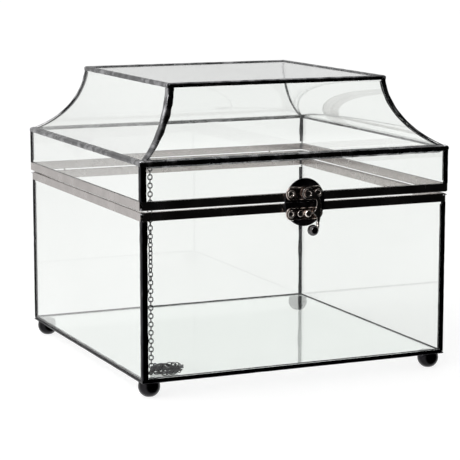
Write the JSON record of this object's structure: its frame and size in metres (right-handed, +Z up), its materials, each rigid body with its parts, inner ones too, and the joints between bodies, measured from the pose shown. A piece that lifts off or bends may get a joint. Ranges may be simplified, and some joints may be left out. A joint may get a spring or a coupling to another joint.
{
  "type": "wedding card box",
  "caption": "Square leaded-glass card box on ball feet, with a hinged pagoda-shaped glass lid, a swing-hook clasp and a stay chain.",
  "frame": {"origin": "middle of the footprint of the whole box, clasp and hinge included, on the surface that the feet stand on", "axes": "+Z up, the clasp faces -Y, the hinge is at +Y, +X is to the right seen from the clasp"},
  "size_m": [0.2414, 0.2588, 0.2159],
  "materials": {
    "clear_glass": "clear polished float glass with a faint green cast",
    "solder_seam": "black patina over hand-run solder, glossy and slightly lumpy",
    "rim_channel": "black patina over drawn metal channel, satin gloss",
    "ball_foot": "black patina, glossy",
    "latch_metal": "antiqued dark brass, polished on raised edges",
    "chain_metal": "dark nickel, smooth wire links",
    "hinge_metal": "darkened brass tube and wire"
  },
  "bodies": {
    "base": {"floor_glass": "clear_glass", "base_glass_front": "clear_glass", "base_glass_back": "clear_glass", "base_glass_left": "clear_glass", "base_glass_right": "clear_glass", "base_bottom_frame": "solder_seam", "latch_backing_lower": "solder_seam", "chain_anchor_base": "solder_seam", "base_seam_front_left": "solder_seam", "base_seam_front_right": "solder_seam", "base_seam_back_left": "solder_seam", "base_seam_back_right": "solder_seam", "base_rim_front": "rim_channel", "base_rim_back": "rim_channel", "base_rim_left": "rim_channel", "base_rim_right": "rim_channel", "foot_front_left": "ball_foot", "foot_front_right": "ball_foot", "foot_back_left": "ball_foot", "foot_back_right": "ball_foot", "latch_plate_lower": "latch_metal", "latch_rivet_lower": "latch_metal", "latch_screw_lower": "latch_metal", "latch_stud": "latch_metal", "chain_pile": "chain_metal", "hinge_wire": "hinge_metal"},
    "lid": {"lid_ledge_frame": "solder_seam", "lid_top_frame": "solder_seam", "lid_top_glass": "clear_glass", "latch_backing_upper": "solder_seam", "latch_plate_upper": "latch_metal", "latch_rivet_upper_left": "latch_metal", "latch_rivet_upper_right": "latch_metal", "hook_pivot": "latch_metal", "hinge_tube": "hinge_metal", "chain_anchor_lid": "solder_seam", "lid_band_glass_front": "clear_glass", "lid_band_glass_back": "clear_glass", "lid_band_glass_left": "clear_glass", "lid_band_glass_right": "clear_glass", "lid_curved_glass_front": "clear_glass", "lid_curved_glass_back": "clear_glass", "lid_curved_glass_left": "clear_glass", "lid_curved_glass_right": "clear_glass", "lid_rim_front": "rim_channel", "lid_rim_back": "rim_channel", "lid_rim_left": "rim_channel", "lid_rim_right": "rim_channel", "lid_band_seam_front_left": "solder_seam", "lid_band_seam_front_right": "solder_seam", "lid_band_seam_back_left": "solder_seam", "lid_band_seam_back_right": "solder_seam", "lid_hip_seam_front_left": "solder_seam", "lid_hip_seam_front_right": "solder_seam", "lid_hip_seam_back_left": "solder_seam", "lid_hip_seam_back_right": "solder_seam"},
    "hook": {"latch_hook": "latch_metal"},
    "chain_top": {"chain_upper": "chain_metal"},
    "chain_middle": {"chain_mid": "chain_metal"},
    "chain_bottom": {"chain_low": "chain_metal"}
  },
  "joints": [
    {"name": "lid_hinge", "type": "hinge", "parent": "base", "child": "lid", "pos_m": [0, 0.1278, 0.133], "axis": [-1, 0, 0], "range_deg": [0, 90], "deforming": ["chain_upper", "chain_mid", "chain_low"]},
    {"name": "hook_swing", "type": "hinge", "parent": "lid", "child": "hook", "pos_m": [0.0044, -0.1199, 0.1379], "axis": [0, -1, 0], "range_deg": [0, 100]},
    {"name": "chain_tilt", "type": "hinge", "parent": "lid", "child": "chain_top", "pos_m": [-0.109, -0.10375, 0.1611], "axis": [-1, 0, 0], "range_deg": [-54, 1]},
    {"name": "chain_slide_middle", "type": "slide", "parent": "chain_top", "child": "chain_middle", "axis": [0, 0, -1], "range_m": [0, 0.1432]},
    {"name": "chain_slide_bottom", "type": "slide", "parent": "chain_middle", "child": "chain_bottom", "axis": [0, 0, -1], "range_m": [0, 0.1432]}
  ],
  "couplings": [
    {"joint": "chain_tilt", "follows": "lid_hinge", "ratio": -0.59},
    {"joint": "chain_slide_middle", "follows": "lid_hinge", "m_per_rad": 0.09104},
    {"joint": "chain_slide_bottom", "follows": "lid_hinge", "m_per_rad": 0.09104}
  ]
}
